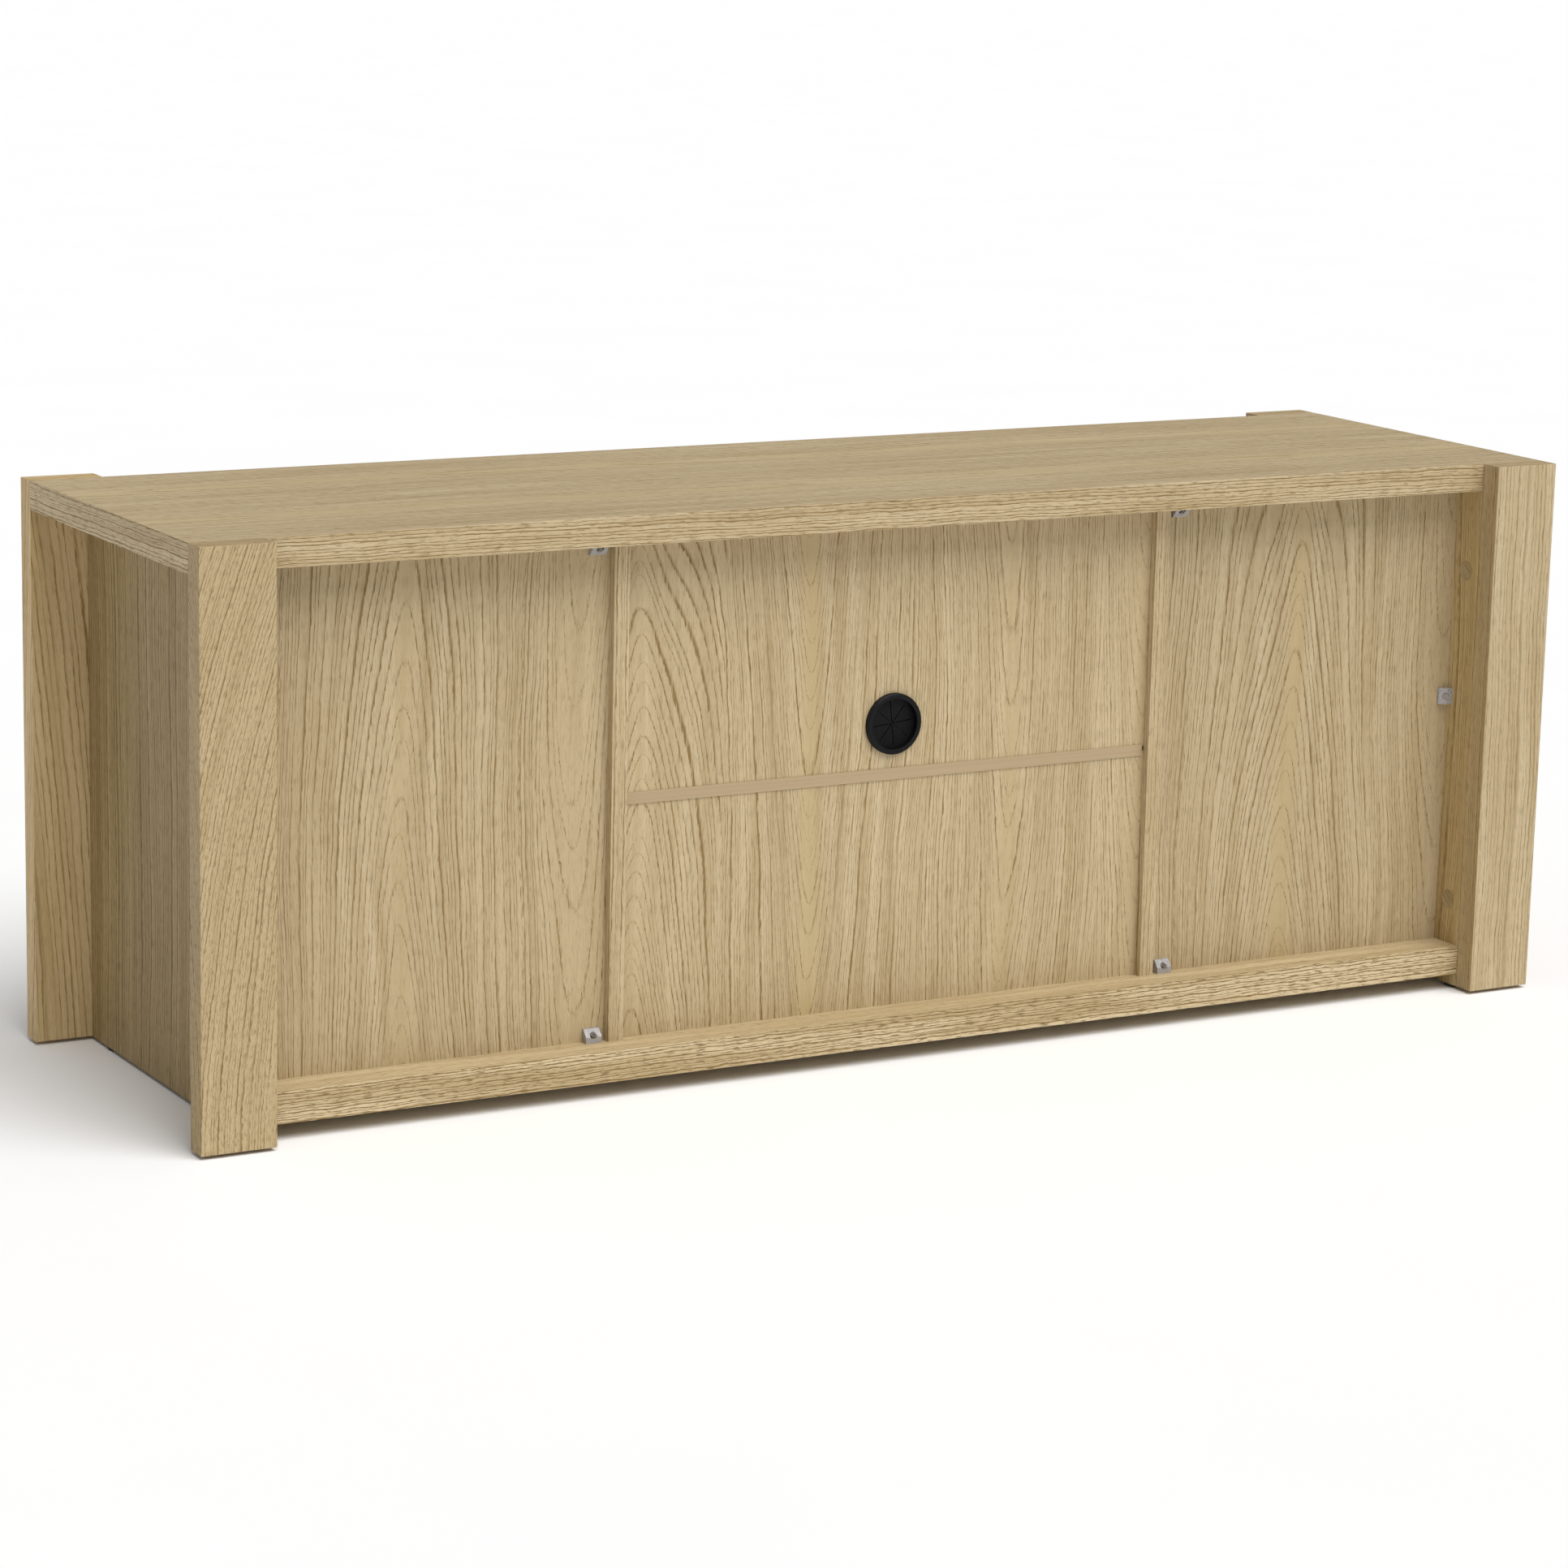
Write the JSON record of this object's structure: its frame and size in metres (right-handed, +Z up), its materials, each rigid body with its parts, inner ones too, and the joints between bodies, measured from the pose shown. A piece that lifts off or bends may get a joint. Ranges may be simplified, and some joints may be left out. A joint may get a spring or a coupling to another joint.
{
  "type": "media cabinet",
  "caption": "Low oak-finish media cabinet on slab leg boards, with outer hinged doors, an open middle bay with a shelf, and a clipped-in back with a cable grommet.",
  "frame": {"origin": "on the floor under the middle of the cabinet", "axes": "+X left to right as seen from the front, the doors face -Y, +Z up"},
  "size_m": [1.48, 0.447, 0.5515],
  "materials": {
    "oak_laminate": "embossed light oak foil on particleboard",
    "oak_back": "light oak foil on thin fibreboard",
    "joiner_plastic": "plain tan extruded plastic",
    "black_plastic": "satin black",
    "black_rubber": "matt black",
    "black_glide": "matt black",
    "clear_plastic": "clear",
    "cover_foil": "oak-pattern foil",
    "dowel_wood": "plain beech",
    "black_metal": "satin black",
    "zinc": "die-cast zinc",
    "steel": "zinc-plated steel"
  },
  "bodies": {
    "cabinet": {"back_clip_screws": "steel", "back_clips": "clear_plastic", "back_joiner": "joiner_plastic", "back_panel_left": "oak_back", "back_panel_lower": "oak_back", "back_panel_right": "oak_back", "back_panel_upper": "oak_back", "bottom_panel": "oak_laminate", "cam_bolts": "steel", "cam_covers": "cover_foil", "cam_locks": "zinc", "door_bumpers": "clear_plastic", "door_magnets": "zinc", "dowels": "dowel_wood", "glides": "black_glide", "grommet_diaphragm": "black_rubber", "grommet_ring": "black_plastic", "hinge_frame_leaves_left": "steel", "hinge_frame_leaves_right": "steel", "hinge_frame_screws_left": "steel", "hinge_frame_screws_right": "steel", "hinge_pins_left": "steel", "hinge_pins_right": "steel", "leg_front_left": "oak_laminate", "leg_front_right": "oak_laminate", "leg_rear_left": "oak_laminate", "leg_rear_right": "oak_laminate", "partition_left": "oak_laminate", "partition_right": "oak_laminate", "partition_screws": "steel", "shelf_centre": "oak_laminate", "shelf_left": "oak_laminate", "shelf_pins": "steel", "shelf_right": "oak_laminate", "side_panel_left": "oak_laminate", "side_panel_right": "oak_laminate", "top_panel": "oak_laminate"},
    "left_door": {"door_left": "oak_laminate", "hinge_door_leaves_left": "steel", "hinge_door_screws_left": "steel", "knob_left": "black_metal", "knob_screw_left": "steel", "magnet_plate_left": "steel"},
    "right_door": {"door_right": "oak_laminate", "hinge_door_leaves_right": "steel", "hinge_door_screws_right": "steel", "knob_right": "black_metal", "knob_screw_right": "steel", "magnet_plate_right": "steel"}
  },
  "joints": [
    {"name": "left_door_hinge", "type": "hinge", "parent": "cabinet", "child": "left_door", "pos_m": [-0.6636, -0.2021, 0.285], "axis": [0, 0, -1], "range_deg": [0, 95]},
    {"name": "right_door_hinge", "type": "hinge", "parent": "cabinet", "child": "right_door", "pos_m": [0.6636, -0.2021, 0.285], "axis": [0, 0, 1], "range_deg": [0, 95]}
  ]
}
